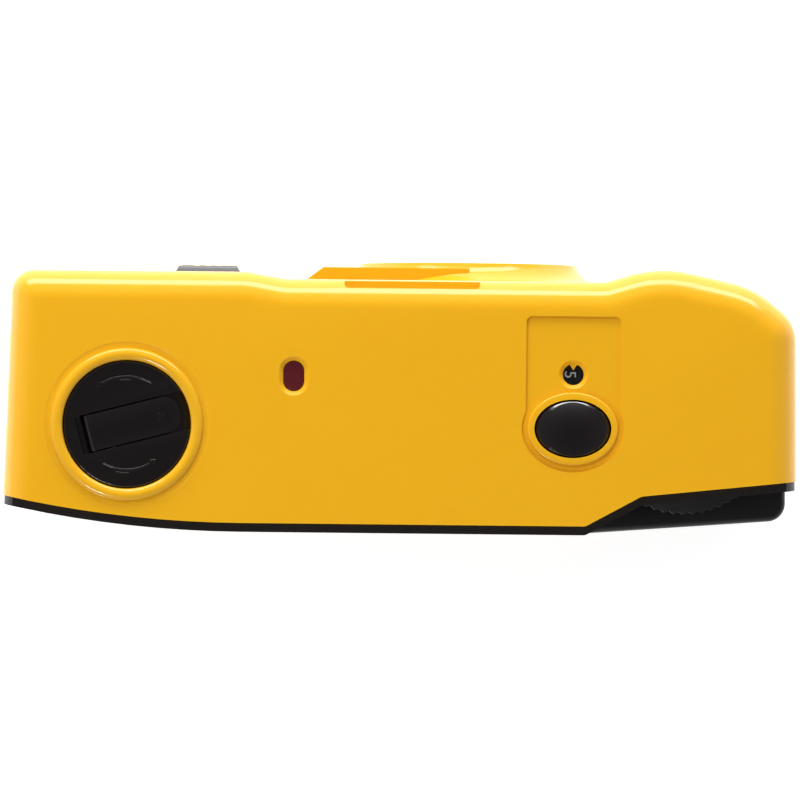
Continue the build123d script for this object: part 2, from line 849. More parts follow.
def film_rails():
    """Rails that guide the film above and below the gate."""
    left = spool_x + takeup_radius + takeup_wall
    right = cartridge_x - chamber_radius
    edge = film_height / 2
    rails = slab(left, right, plate_rear_y - seat_gap, film_y + outer_rail_rise,
                 film_z - edge - rail_width, film_z - edge)
    rails += slab(left, right, plate_rear_y - seat_gap, film_y + outer_rail_rise,
                  film_z + edge, film_z + edge + rail_width)
    lip = gate_height / 2
    rails += slab(left, right, plate_rear_y - seat_gap, film_y, film_z - lip - rail_width, film_z - lip)
    rails += slab(left, right, plate_rear_y - seat_gap, film_y, film_z + lip, film_z + lip + rail_width / 2)
    return rails


def chassis_hollows():
    """Spaces for cartridge, take-up, battery, light path and sprocket."""
    far = rear_y + overrun
    hollows = chamber(cartridge_x, knob_y, chamber_radius, chamber_floor_z, deck_z, far)
    hollows += chamber(spool_x, spool_y, takeup_radius, chamber_floor_z, deck_z, far)
    hollows += rod_z(bay_radius, -overrun, deck_z, battery_x, battery_y)
    hollows += dark_box(0, box_front_y)
    gate = Rectangle(gate_width, gate_height)
    hollows += front_plate(gate, lens_x, film_z, plate_front_y - seat_gap, far)
    sprocket_room = sprocket_radius + sprocket_tooth_reach + run_gap
    hollows += slab(sprocket_x - sprocket_room, sprocket_x + sprocket_room, sprocket_y, far,
                    sprocket_floor_z - shaft_gap, sprocket_z + sprocket_body_height - sprocket_body_drop + end_gap)
    return hollows


def deck_posts():
    """Posts that carry the dial, lamp, release lever and button on the top deck."""
    foot_z = deck_z + seat_gap
    posts = rod_z(dial_post_radius, foot_z, dial_z - end_gap, dial_x, counter_y)
    posts += rod_z(dial_pin_radius, foot_z, dial_top_z - shaft_gap, dial_x, counter_y)
    posts += rod_z(lamp_radius + fit_gap * 2, foot_z, deck_top_z + lamp_post, lamp_x, lamp_y)
    guide_top_z = button_flange_z - guide_height
    guide_z = rocker_top_z + run_gap * 2 + button_travel
    posts += rod_z(guide_radius, guide_z, guide_top_z, button_x, knob_y)
    rib_x = button_x + rocker_width / 2 + run_gap
    posts += slab(rib_x, rib_x + guide_rib, knob_y - guide_rib / 2, knob_y + guide_rib / 2, foot_z, guide_top_z)
    for side in (-1, 1):
        inner = rocker_width / 2 + run_gap
        x = sorted([button_x + side * inner, button_x + side * (inner + rocker_post_wall)])
        posts += slab(x[0], x[1], rocker_y - rocker_post_length / 2, rocker_y + rocker_post_length / 2,
                      foot_z, rocker_z + rocker_wall + fit_gap)
    pawl_x, pawl_y = polar(spool_x, spool_y, pawl_pivot_radius, pawl_pivot_turn)
    posts += rod_z(pawl_pin_radius, foot_z, wheel_z - run_gap, pawl_x, pawl_y)
    return posts


def hinge_arms():
    """Two chassis arms that hold the hinge pin inside the door's edge."""
    arms = None
    for z in hinge_arm_heights():
        top = z + hinge_arm_height
        arm = rod_z(hinge_eye_radius, z, top, hinge_x, hinge_y)
        reach = slab(hinge_x - hinge_arm_width / 2, hinge_x + hinge_arm_width / 2, knob_y + takeup_wall * 3,
                     hinge_y, z, top)
        reach -= rod_z(takeup_radius, z - overrun, top + overrun, spool_x, spool_y)
        reach -= slab(spool_x - takeup_radius, spool_x, spool_y, rear_y, z - overrun, top + overrun)
        arm += reach
        arms = arm if arms is None else arms + arm
    return arms


def hinge_arm_heights():
    """Lower faces of the two hinge arms."""
    low = door_floor_z + door_flange + hinge_end_room
    return [low, door_top_z - door_flange - hinge_end_room - hinge_arm_height]


def main_body():
    """Black chassis: chambers, film gate, dark box, decks, rear strip and the posts on the deck."""
    body = chassis_walls()
    sweep_room = rod_z(hinge_sweep_radius, -overrun, deck_z, hinge_x, hinge_y)
    body = body - sweep_room + rear_strip() + film_rails() + deck_posts()
    body += rod_z(journal_radius, sprocket_floor_z - chassis_wall * 2, sprocket_floor_z - shaft_gap * 2,
                  sprocket_x, sprocket_y)
    for x, y in screw_places():
        body += rod_z(screw_boss_radius, chassis_floor_z, floor_deck_z + screw_boss_height, x, y)
    half = shutter_width / 2 - shutter_boss_inset
    rise = shutter_height / 2 - shutter_boss_inset
    for side in (-1, 1):
        for level in (-1, 1):
            body += rod_y(shutter_boss_radius, shutter_rear_y, box_front_y, lens_x + side * half,
                          film_z + level * rise)
    body = body - chassis_hollows()
    body += hinge_arms()
    body += rod_z(sprocket_shaft_radius / 2, sprocket_floor_z - chassis_wall, sprocket_floor_z + chassis_wall,
                  sprocket_x, sprocket_y) - dark_box(0, box_front_y)

    pit = rod_z(cartridge_radius / 2, chassis_floor_z, chamber_floor_z + end_gap, cartridge_x, knob_y)
    body -= pit
    body -= rod_z(journal_radius + shaft_gap, chassis_floor_z - overrun, chamber_floor_z + end_gap, spool_x, spool_y)
    body -= rod_z(release_flange_radius + run_gap, -overrun, chamber_floor_z - chassis_wall, spool_x, spool_y)
    body -= rod_z(spool_shaft_radius + shaft_gap, deck_z - end_gap, deck_top_z + end_gap, spool_x, spool_y)
    body -= rod_z(shaft_radius + shaft_gap, deck_z - end_gap, deck_top_z + end_gap, cartridge_x, knob_y)
    body -= rod_z(sprocket_shaft_radius + shaft_gap, deck_z - end_gap, deck_top_z + end_gap, sprocket_x, sprocket_y)
    body -= rod_z(button_stem_radius + shaft_gap, deck_top_z, ceiling_z, button_x, knob_y)
    body -= rod_z(wheel_radius + run_gap, deck_top_z, wheel_z + wheel_height + run_gap, spool_x, spool_y)
    pawl_x, pawl_y = polar(spool_x, spool_y, pawl_pivot_radius, pawl_pivot_turn)
    body += rod_z(pawl_pin_radius, deck_top_z - end_gap, wheel_z - run_gap, pawl_x, pawl_y)
    eyepiece = RectangleRounded(eyepiece_width, eyepiece_height, finder_window_radius)
    body -= front_plate(eyepiece, finder_x, finder_z, 0, rear_y)
    finder_bed = slab(finder_x - finder_front_width / 2 - run_gap, finder_x + finder_front_width / 2 + run_gap,
                      front_y, 0, deck_top_z, ceiling_z + overrun)
    body -= finder_bed
    leg_half = rocker_width / 2 + run_gap
    leg_y = rocker_y - rocker_front
    body -= slab(button_x - leg_half, button_x + leg_half, leg_y - rocker_foot, leg_y + rocker_leg_wall + run_gap * 2,
                 deck_z - end_gap, deck_top_z + end_gap)
    body -= rod_x(rocker_pin_radius + seat_gap, button_x - overrun, button_x + overrun, rocker_y,
                  rocker_z + rocker_wall / 2)
    body -= rod_y(box_hole_radius, box_face_y - seat_gap, box_front_y + seat_gap, lens_x, film_z)
    for z in hinge_arm_heights():
        body -= rod_z(hinge_pin_radius + seat_gap, z - seat_gap, z + hinge_arm_height + seat_gap, hinge_x, hinge_y)
    for x, y in screw_places():
        body -= rod_z(screw_radius + seat_gap, chassis_floor_z - overrun, cover_wall + screw_length, x, y)
    return body


# Back door and what rides on it
def back_door():
    """Black film door: curved panel with top and bottom flanges, hinge knuckles and latch catch."""
    height = door_top_z - door_floor_z
    outer = Pos(0, 0, door_floor_z) * extrude(door_face(0), height)
    ends = outer.edges().group_by(Axis.Z)
    outer = fillet([edge for edge in ends[-1] if edge.center().Y > hinge_y], door_fillet)
    ends = outer.edges().group_by(Axis.Z)
    outer = fillet([edge for edge in ends[0] if edge.center().Y > hinge_y], door_fillet)
    panel = outer - Pos(0, 0, -overrun) * extrude(door_face(door_wall), body_height + 2 * overrun)
    flange_room = slab(-half_width, half_width, -overrun, rear_y, door_floor_z + door_flange,
                       door_top_z - door_flange)
    flanges = outer - seam_block(door_gap) - flange_room
    cover_edge_y = seam_depth - seam_step - seam_tail
    left_x = -half_width - overrun
    left_trim = slab(left_x, hinge_x, -overrun, cover_edge_y + flange_gap, -overrun, body_height)
    swing_trim = slab(left_x, hinge_x, -overrun, hinge_y, -overrun, body_height)
    swing_trim -= rod_z(door_edge_swing, -2 * overrun, body_height + overrun, hinge_x, hinge_y)
    right_trim = seam_block(run_gap) & slab(cartridge_x + chamber_radius, half_width + overrun, -overrun, rear_y,
                                            -overrun, body_height)
    door = panel + flanges - left_trim - swing_trim - right_trim
    door -= slab(-half_width, half_width, -overrun, hinge_y / 2, -overrun, body_height)
    low, high = hinge_arm_heights()
    inside_z = (door_floor_z + door_flange, door_top_z - door_flange)
    spans = [(inside_z[0] - seat_gap, low - run_gap), (low + hinge_arm_height + run_gap, high - run_gap),
             (high + hinge_arm_height + run_gap, inside_z[1] + seat_gap)]
    for z0, z1 in spans:
        door += rod_z(hinge_eye_radius, z0, z1, hinge_x, hinge_y)
        door += slab(hinge_x - hinge_eye_radius, hinge_x + hinge_eye_radius, hinge_y,
                     bulge_y - door_wall / 2, z0, z1)
    for z in (low, high):
        door -= slab(-half_width - overrun, hinge_x + hinge_eye_radius, -overrun, hinge_y + hinge_eye_radius + fit_gap,
                     z - run_gap, z + hinge_arm_height + run_gap)
    door -= rod_z(hinge_pin_radius + shaft_gap, low - hinge_end_room, high + hinge_arm_height + hinge_end_room,
                  hinge_x, hinge_y)
    catch_top = latch_z + latch_height / 2 - run_gap - latch_nose
    catch = slab(catch_x, catch_x + catch_wall, latch_y + latch_reach - latch_nose, door_y,
                 catch_top - catch_height, catch_top)
    return door + (catch & extrude(door_face(door_wall / 2), body_height))


def hinge_pin():
    """Steel pin through the door's knuckles and the chassis arms."""
    low, high = hinge_arm_heights()
    return rod_z(hinge_pin_radius, low - hinge_end_room + run_gap, high + hinge_arm_height + hinge_end_room - run_gap,
                 hinge_x, hinge_y)


def pressure_plate():
    """Plate that keeps the film flat against the rails, notched for the sprocket."""
    width = gate_width + 2 * pressure_margin
    height = film_height - pressure_margin / 2
    front = film_y + outer_rail_rise + pressure_gap
    plate = front_plate(RectangleRounded(width, height, pressure_corner), lens_x, film_z, front, front + pressure_wall)
    room = sprocket_radius + sprocket_tooth_reach + run_gap
    notch = slab(sprocket_x - room, sprocket_x + room, 0, rear_y,
                 sprocket_z - sprocket_tooth_radius - run_gap, deck_z)
    return plate - notch


def pressure_spring():
    """Bowed leaf between the pressure plate and the door."""
    front = film_y + outer_rail_rise + pressure_gap + pressure_wall
    back = door_y - door_wall
    half = gate_width / 2 - pressure_margin
    bow = ThreePointArc((-half, front), (0, back - leaf_wall), (half, front))
    bow_back = ThreePointArc((half, front + leaf_wall), (0, back), (-half, front + leaf_wall))
    face = make_face(bow + Line((half, front), (half, front + leaf_wall)) + bow_back
                     + Line((-half, front + leaf_wall), (-half, front)))
    return Pos(lens_x, 0, film_z - leaf_width / 2) * extrude(face, leaf_width)


def door_seal():
    """Foam strip on the rear edge of the cartridge chamber's outer wall."""
    inner = cartridge_x + chamber_radius
    return slab(inner, inner + chamber_wall, plate_rear_y, plate_rear_y + seal_depth, chamber_floor_z,
                deck_z - 2 * chassis_wall)


def door_latch():
    """Sliding latch: ridged thumb piece, stem, inner plate and nose."""
    half = latch_height / 2
    top_x = half_width + latch_proud
    knob = slab(latch_face_x + fit_gap, top_x, latch_y - latch_width / 2, latch_y + latch_width / 2,
                latch_z - half, latch_z + half)
    for ridge in range(switch_grooves):
        z = latch_z + (ridge - (switch_grooves - 1) / 2) * groove_pitch
        knob -= slab(top_x - groove_depth, top_x + overrun, latch_y - latch_width, latch_y + latch_width,
                     z - groove_pitch / 4, z + groove_pitch / 4)
    stem_half = half - latch_plate_margin
    stem = slab(latch_inner_x - seat_gap, latch_face_x + fit_gap + seat_gap, latch_y - latch_stem_width / 2,
                latch_y + latch_stem_width / 2, latch_z - stem_half, latch_z + stem_half)
    plate = slab(latch_inner_x - latch_wall, latch_inner_x, latch_y - latch_width / 2, latch_y + latch_reach,
                 latch_z - half, latch_z + half)
    nose = slab(catch_x, latch_inner_x, latch_y + latch_reach - latch_nose, latch_y + latch_reach,
                latch_z + half - latch_nose, latch_z + half)
    return knob + stem + plate + nose


def latch_spring():
    """Coil that draws the latch down again."""
    base_z = latch_z - latch_height / 2 - latch_spring_length
    spring = coil(latch_spring_radius, latch_spring_wire, latch_spring_length, spring_turns)
    return Pos(latch_spring_x, latch_y, base_z) * spring


# Lens and shutter
def lens_bezel():
    """Black ring in the lens opening, stepped inwards to stop stray light."""
    y = ring_y + bezel_face_drop
    outer = ring_bore - fit_gap
    inner = barrel_radius + run_gap
    radius = outer - 3 * bezel_face_drop
    step_in = (radius - inner) / baffle_steps
    step_back = (barrel_front_y - y) / (baffle_steps + 1)
    points = [(outer, y), (radius, y)]
    for step in range(baffle_steps):
        y += step_back
        radius -= step_in * 2 / 3
        points.append((radius, y))
        radius -= step_in / 3
        points.append((radius, y))
    flange_y = front_inner_y + fit_gap
    points.append((inner, flange_y + bezel_flange_wall))
    points.append((outer + bezel_flange, flange_y + bezel_flange_wall))
    points.append((outer + bezel_flange, flange_y))
    points.append((outer, flange_y))
    return turned_y(points, lens_x, film_z)


def lens_barrel():
    """Tube that holds the lens ahead of the shutter plate."""
    seat_y = barrel_front_y + retainer_wall + lens_edge
    seat_radius = lens_radius + shaft_gap
    points = [(barrel_bore, shutter_front_y), (barrel_foot_radius, shutter_front_y),
              (barrel_foot_radius, shutter_front_y - barrel_foot), (barrel_radius, shutter_front_y - barrel_foot),
              (barrel_radius, barrel_front_y), (seat_radius, barrel_front_y), (seat_radius, seat_y),
              (barrel_bore, seat_y)]
    return turned_y(points, lens_x, film_z)


def front_lens():
    """Single meniscus lens."""
    edge_y = barrel_front_y + retainer_wall
    back_y = edge_y + lens_edge
    rim = lens_clear_radius - fit_gap
    front = (0, edge_y - lens_bulge)
    back = (0, back_y - lens_hollow)
    profile = make_face(
        TangentArc(front, (rim, edge_y), tangent=(1, 0))
        + Polyline((rim, edge_y), (lens_radius, edge_y), (lens_radius, back_y), (rim, back_y))
        + TangentArc(back, (rim, back_y), tangent=(1, 0))
        + Line(back, front))
    return Pos(lens_x, 0, film_z) * revolve(profile, Axis.Y)


def lens_retainer():
    """Ring that holds the lens in the barrel, bevelled inwards."""
    back_y = barrel_front_y + retainer_wall
    points = [(lens_radius, barrel_front_y), (lens_radius, back_y), (lens_clear_radius, back_y),
              (lens_clear_radius, back_y - retainer_wall / 3), (lens_clear_radius + retainer_wall / 2, barrel_front_y)]
    return turned_y(points, lens_x, film_z)


def aperture_plate():
    """Fixed stop on the shutter plate, inside the barrel."""
    disc = rod_y(barrel_bore - shaft_gap, shutter_front_y - aperture_wall, shutter_front_y, lens_x, film_z)
    return disc - rod_y(aperture_radius, -front_depth, 0, lens_x, film_z)


def shutter_plate():
    """Plate that carries the barrel, the blade pin and the drive lever pin."""
    plate = front_plate(RectangleRounded(shutter_width, shutter_height, shutter_boss_inset), lens_x, film_z,
                        shutter_front_y, shutter_rear_y)
    plate -= rod_y(shutter_hole_radius, shutter_front_y - overrun, shutter_rear_y + overrun, lens_x, film_z)
    plate += rod_y(blade_pin_radius, shutter_rear_y - seat_gap, shutter_rear_y + shutter_gap - fit_gap,
                   lens_x - blade_pivot_x, film_z + blade_pivot_z)
    plate += rod_y(blade_pin_radius, shutter_front_y - lever_wall - shutter_gap * 2, shutter_front_y + seat_gap,
                   lens_x - lever_pivot_x, film_z + lever_pivot_z)
    return plate


def shutter_blade():
    """Thin blade that covers the shutter hole and swings clear about its pin."""
    mid_y = shutter_rear_y + shutter_gap / 2
    arm = lever_link([(0, 0), (-blade_pivot_x, blade_pivot_z)], lever_width * 2)
    outline = Circle(blade_radius) + arm + Pos(-blade_pivot_x, blade_pivot_z) * Circle(lever_width)
    blade = front_plate(outline, lens_x, film_z, mid_y - blade_wall / 2, mid_y + blade_wall / 2)
    return blade - rod_y(blade_pin_radius + shaft_gap, -front_depth, 0, lens_x - blade_pivot_x,
                         film_z + blade_pivot_z)


def drive_lever():
    """Lever on the front of the shutter plate that strikes the blade."""
    back_y = shutter_front_y - fit_gap
    lean = radians(lever_lean)
    top = (-lever_arm * sin(lean), lever_arm * cos(lean))
    tail = (lever_tail * sin(lean / 2), -lever_tail * cos(lean / 2))
    outline = lever_link([top, (0, 0), tail], lever_width) + Circle(lever_width)
    outline += Pos(*top) * Circle(lever_width / 2)
    lever = front_plate(outline, lens_x - lever_pivot_x, film_z + lever_pivot_z, back_y - lever_wall, back_y)
    return lever - rod_y(blade_pin_radius + shaft_gap, -front_depth, 0, lens_x - lever_pivot_x,
                         film_z + lever_pivot_z)


def shutter_spring():
    """Torsion coil round the drive lever's pin."""
    height = shutter_gap * 2 - run_gap
    spring = coil(torsion_radius, torsion_wire, height, spring_turns - 1)
    y = shutter_front_y - fit_gap - lever_wall - fit_gap / 2
    return Pos(lens_x - lever_pivot_x, y, film_z + lever_pivot_z) * Rot(90, 0, 0) * spring


# Viewfinder
def viewfinder_housing():
    """Tapered black tunnel from the front window to the eyepiece."""
    return finder_tunnel(0) - finder_tunnel(finder_wall)


def finder_tunnel(inset):
    """Tapered block of the viewfinder, set in on its four long sides."""
    front = Rectangle(finder_front_width - 2 * inset, finder_height - 2 * inset)
    rear = Rectangle(finder_rear_width - 2 * inset, finder_height - 2 * inset)
    rear_face_y = seam_depth - strip_wall - seat_gap
    return loft([Plane.XZ.offset(-finder_front_y) * Pos(finder_x, finder_z) * front,
                 Plane.XZ.offset(-rear_face_y) * Pos(finder_x, finder_z) * rear])


def viewfinder_lens():
    """Front window of the viewfinder."""
    width = finder_window_width - 2 * fit_gap
    height = finder_window_height - 2 * fit_gap
    pane = RectangleRounded(width, height, finder_window_radius - fit_gap)
    return front_plate(pane, finder_x, finder_z, finder_front_y - seat_gap - finder_lens_wall,
                       finder_front_y - seat_gap)


def eyepiece_lens():
    """Rear window of the viewfinder, in the black strip."""
    width = eyepiece_width - 2 * fit_gap
    height = eyepiece_height - 2 * fit_gap
    pane = RectangleRounded(width, height, finder_window_radius - fit_gap)
    return front_plate(pane, finder_x, finder_z, seam_depth - finder_lens_wall, seam_depth + fit_gap)


# Flash
def flash_window():
    """Clear flash pane with a flange behind the cover wall."""
    pane = RectangleRounded(flash_width - 2 * fit_gap, flash_height - 2 * fit_gap, flash_corner - fit_gap)
    window = front_plate(pane, cartridge_x, flash_z, flash_inner_y - flash_pane_wall, flash_inner_y + fit_gap)
    rim = RectangleRounded(flash_width + 2 * flash_flange, flash_height + 2 * flash_flange, flash_corner)
    return window + front_plate(rim, cartridge_x, flash_z, flash_inner_y + fit_gap / 2,
                                flash_inner_y + fit_gap / 2 + flash_flange_wall)


def reflector_arc(shrink):
    """Trough section in Y and Z as a face, made smaller by shrink."""
    half = flash_height / 2 - run_gap - shrink
    back = reflector_y + reflector_depth - shrink
    return make_face(ThreePointArc((reflector_y, -half), (back, 0), (reflector_y, half))
                     + Line((reflector_y, half), (reflector_y, -half)))


def flash_reflector():
    """Bright trough round the flash tube, closed at both ends."""
    half = flash_width / 2 - run_gap
    outer = side_plate(reflector_arc(0), cartridge_x - half, cartridge_x + half)
    inner = side_plate(reflector_arc(reflector_wall), cartridge_x - half + reflector_wall,
                       cartridge_x + half - reflector_wall)
    shell = Pos(0, 0, flash_z) * (outer - inner)
    return shell - rod_x(tube_radius + seat_gap, cartridge_x - flash_width, cartridge_x + flash_width, tube_y,
                         flash_z)


def flash_tube():
    """Glass rod with a metal cap at each end."""
    half = flash_width / 2 + tube_cap - run_gap
    tube = rod_x(tube_radius, cartridge_x - half, cartridge_x + half, tube_y, flash_z)
    for side in (-1, 1):
        x = sorted([cartridge_x + side * half, cartridge_x + side * (half - tube_cap + fit_gap)])
        tube += rod_x(tube_radius + fit_gap, x[0], x[1], tube_y, flash_z)
    return tube


def flash_board():
    """Circuit board of the flash."""
    board = slab(cartridge_x - board_width / 2, cartridge_x + board_width / 2, board_y - board_wall, board_y,
                 board_floor_z, board_floor_z + board_height)
    return board


def flash_capacitor():
    """Upright flash capacitor with a crimped top edge."""
    x = battery_x
    z0 = floor_deck_z
    z1 = z0 + capacitor_height
    neck = capacitor_radius * 0.93
    crimp = capacitor_radius / 3
    points = [(0, z0), (capacitor_radius, z0), (capacitor_radius, z1 - crimp), (neck, z1 - crimp * 2 / 3),
              (capacitor_radius, z1 - crimp / 3), (capacitor_radius, z1), (0, z1)]
    return turned_z(points, x, -capacitor_depth)


def flash_transformer():
    """Bobbin and core of the flash transformer, on the board."""
    x0 = cartridge_x + board_boss_radius
    z0 = board_floor_z + transformer_height
    y1 = board_y - board_wall
    y0 = y1 - transformer_depth
    core = slab(x0, x0 + transformer_width, y0, y1, z0, z0 + transformer_height)
    waist = transformer_height / 5
    side = transformer_width / 6
    for x in (x0, x0 + transformer_width):
        core -= slab(x - side, x + side, y0 - overrun, y1 + overrun, z0 + waist, z0 + transformer_height - waist)
    return core


def trigger_coil():
    """Small wound coil that fires the tube, lying on the board."""
    y = board_y - board_wall - coil_radius
    z = board_floor_z + board_height * 0.62
    x0 = cartridge_x + board_boss_radius
    body = rod_x(coil_radius * 0.85, x0, x0 + coil_length, y, z)
    for end in (x0, x0 + coil_length - coil_radius / 2):
        body += rod_x(coil_radius, end, end + coil_radius / 2, y, z)
    return body


def switch_contact():
    """Two springy contact leaves on the board, behind the switch."""
    leaves = []
    tip_y = flash_inner_y + fit_gap + switch_plate_wall + run_gap
    foot_y = board_y - board_wall
    foot_z = switch_z - switch_height
    for side in (-1, 1):
        x = switch_x + switch_travel / 2 + side * leaf_contact_width
        leaf = Polyline((foot_y - leaf_wall / 2, foot_z - leaf_contact_width), (foot_y - leaf_wall / 2, foot_z),
                        (tip_y + leaf_wall / 2, switch_z))
        strip = side_plate(trace(leaf, line_width=leaf_wall), x - leaf_contact_width / 2, x + leaf_contact_width / 2)
        leaves.append(strip & slab(0, half_width, flash_y, foot_y, 0, body_height))
    return leaves


def ready_lamp():
    """Small lamp under the red window."""
    z0 = deck_top_z + lamp_post
    z1 = z0 + lamp_height
    base = rod_z(lamp_radius + fit_gap, z0, z0 + lamp_radius / 2, lamp_x, lamp_y)
    body = rod_z(lamp_radius, z0, z1, lamp_x, lamp_y)
    return base + fillet(body.edges().group_by(Axis.Z)[-1], lamp_radius * 0.8)


def ready_window():
    """Red window with a flange under the top plate."""
    pane = SlotOverall(window_slot_length - 2 * shaft_gap, window_slot_width - 2 * shaft_gap, rotation=90)
    rim = SlotOverall(window_slot_length + 2 * window_flange, window_slot_width + 2 * window_flange, rotation=90)
    window = flat_plate(pane, lamp_x, lamp_y, wall_top_z - fit_gap, body_height - window_rim)
    top = window.edges().group_by(Axis.Z)[-1]
    window = fillet(top, window_rim / 3)
    return window + flat_plate(rim, lamp_x, lamp_y, wall_top_z - window_rim, wall_top_z)


def flash_switch():
    """Slider on the front: bevelled thumb piece, stem and inner plate."""
    front = flash_y - switch_rise
    back = flash_y + switch_track - fit_gap
    base = Rectangle(switch_width, switch_height)
    crown = Rectangle(switch_width - switch_rise * 1.4, switch_height - switch_rise * 0.8)
    knob = loft([Plane.XZ.offset(-back) * Pos(switch_x, switch_z) * base,
                 Plane.XZ.offset(-front) * Pos(switch_x, switch_z) * crown])
    for groove in range(switch_grooves):
        x = switch_x + (groove - (switch_grooves - 1) / 2) * groove_pitch
        knob -= slab(x - groove_pitch / 4, x + groove_pitch / 4, front - overrun, front + groove_depth,
                     switch_z - switch_height, switch_z + switch_height)
    inner = flash_inner_y + fit_gap
    stem = front_plate(Rectangle(switch_stem_width, switch_stem_height), switch_x, switch_z, back - seat_gap,
                       inner + seat_gap)
    plate = front_plate(Rectangle(switch_stem_width * 2, switch_stem_height * 2), switch_x, switch_z, inner,
                        inner + switch_plate_wall)
    return knob + stem + plate


# Battery
def battery():
    """AAA cell with its nub upwards."""
    body_top = battery_top_z - nub_height
    cell = rod_z(battery_radius, battery_floor_z, body_top, battery_x, battery_y)
    cell = fillet(cell.edges(), contact_wall)
    return cell + rod_z(nub_radius, body_top - seat_gap, battery_top_z, battery_x, battery_y)


def battery_top_contact():
    """Spring plate under the top deck."""
    return rod_z(battery_radius - contact_wall, deck_z - contact_wall, deck_z, battery_x, battery_y)


def battery_door():
    """Hatch in the floor with its hinge knuckle and a finger groove."""
    z0 = hatch_hinge_z - hatch_wall / 2
    z1 = hatch_hinge_z + hatch_wall / 2
    half = hatch_half - run_gap / 2
    hatch = slab(battery_x - half, battery_x + half, battery_y - half, hatch_hinge_y - hatch_edge_gap, z0, z1)
    neck = slab(battery_x - hatch_knuckle_half, battery_x + hatch_knuckle_half,
                hatch_hinge_y - hatch_edge_gap - seat_gap, hatch_hinge_y, z0, z1)
    knuckle = rod_x(hatch_knuckle_radius, battery_x - hatch_knuckle_half, battery_x + hatch_knuckle_half,
                    hatch_hinge_y, hatch_hinge_z)
    groove = Pos(battery_x, battery_y - half, z0) * Rot(0, 90, 0) * Cylinder(hatch_grip_depth * 2, hatch_grip_width)
    hatch = hatch + neck + knuckle - groove
    return hatch - rod_x(hatch_pin_radius + shaft_gap, battery_x - overrun, battery_x + overrun, hatch_hinge_y,
                         hatch_hinge_z)


def battery_door_pin():
    """Hinge pin of the hatch, held in the floor."""
    return rod_x(hatch_pin_radius, battery_x - hatch_pin_half, battery_x + hatch_pin_half, hatch_hinge_y,
                 hatch_hinge_z)


def battery_door_contact():
    """Coil contact on the hatch that pushes the cell up."""
    z0 = hatch_hinge_z + hatch_wall / 2
    height = battery_floor_z - z0 - contact_gap
    return Pos(battery_x, battery_y, z0) * coil(nub_radius, contact_wall / 2, height, spring_turns - 1)


# Shutter button, release lever, counter
def shutter_button():
    """Oval domed button with a flange under the cover and a stem."""
    top_z = body_height + button_proud
    head = ellipse_rod(button_length, button_width, button_flange_z, top_z + overrun)
    dome = Pos(button_x, knob_y, top_z - button_dome_radius) * Sphere(button_dome_radius)
    head &= dome
    flange = ellipse_rod(button_length + 2 * button_flange, button_width + 2 * button_flange, button_flange_z,
                         button_flange_z + button_flange_wall)
    stem = rod_z(button_stem_radius, rocker_top_z + fit_gap, button_flange_z + seat_gap, button_x, knob_y)
    stem = fillet(stem.edges().group_by(Axis.Z)[0], button_stem_round)
    return head + flange + stem


def button_spring():
    """Return spring round the button's stem."""
    height = guide_height - 2 * seat_gap
    base_z = button_flange_z - guide_height + seat_gap
    return Pos(button_x, knob_y, base_z) * coil(button_stem_radius + 2 * spring_wire, spring_wire, height,
                                                spring_turns)


def release_lever():
    """Rocker from the button to the shutter, with a leg down to the drive lever."""
    half = rocker_width / 2
    front = rocker_y - rocker_front
    beam = slab(button_x - half, button_x + half, front, knob_y + rocker_rear, rocker_z, rocker_top_z)
    leg = slab(button_x - half, button_x + half, front, front + rocker_leg_wall, rocker_z - rocker_leg, rocker_z
               + seat_gap)
    foot = slab(button_x - half, button_x + half, front - rocker_foot, front + seat_gap, rocker_z - rocker_leg,
                rocker_z - rocker_leg + rocker_leg_wall)
    lever = beam + leg + foot
    return lever - rod_x(rocker_pin_radius + shaft_gap, button_x - rocker_width, button_x + rocker_width, rocker_y,
                         rocker_z + rocker_wall / 2)


def release_pin():
    """Pin of the release lever between two posts."""
    half = rocker_width / 2 + run_gap + rocker_post_wall
    return rod_x(rocker_pin_radius, button_x - half, button_x + half, rocker_y, rocker_z + rocker_wall / 2)


def counter_dial():
    """Toothed frame-counter disc on its pin."""
    dial = flat_plate(star(dial_teeth, dial_radius, dial_radius - dial_tooth_depth, 0.5), dial_x, counter_y, dial_z,
                      dial_top_z)
    dial += rod_z(dial_post_radius, dial_z - end_gap + seat_gap, dial_z + seat_gap, dial_x, counter_y)
    return dial - rod_z(dial_pin_radius + shaft_gap, deck_top_z, ceiling_z, dial_x, counter_y)


def counter_window():
    """Clear round window over the dial, flanged under the top plate."""
    tip_y = counter_y - counter_window_radius + pointer_reach + fit_gap
    pane = rod_z(counter_window_radius - shaft_gap, wall_top_z - fit_gap, wall_top_z + cover_wall / 3, button_x,
                 counter_y)
    pane -= slab(button_x - pointer_width, button_x + pointer_width, counter_y - counter_window_radius * 2, tip_y,
                 wall_top_z, body_height)
    return pane + rod_z(counter_window_radius + counter_rim, wall_top_z - window_rim, wall_top_z, button_x,
                        counter_y)


# Rewind knob and crank
def crank_frame(x, y, z):
    """Place in the knob's own frame, whose x axis runs along the crank."""
    return Pos(cartridge_x, knob_y, 0) * Rot(0, 0, crank_turn) * Pos(x, y, z)


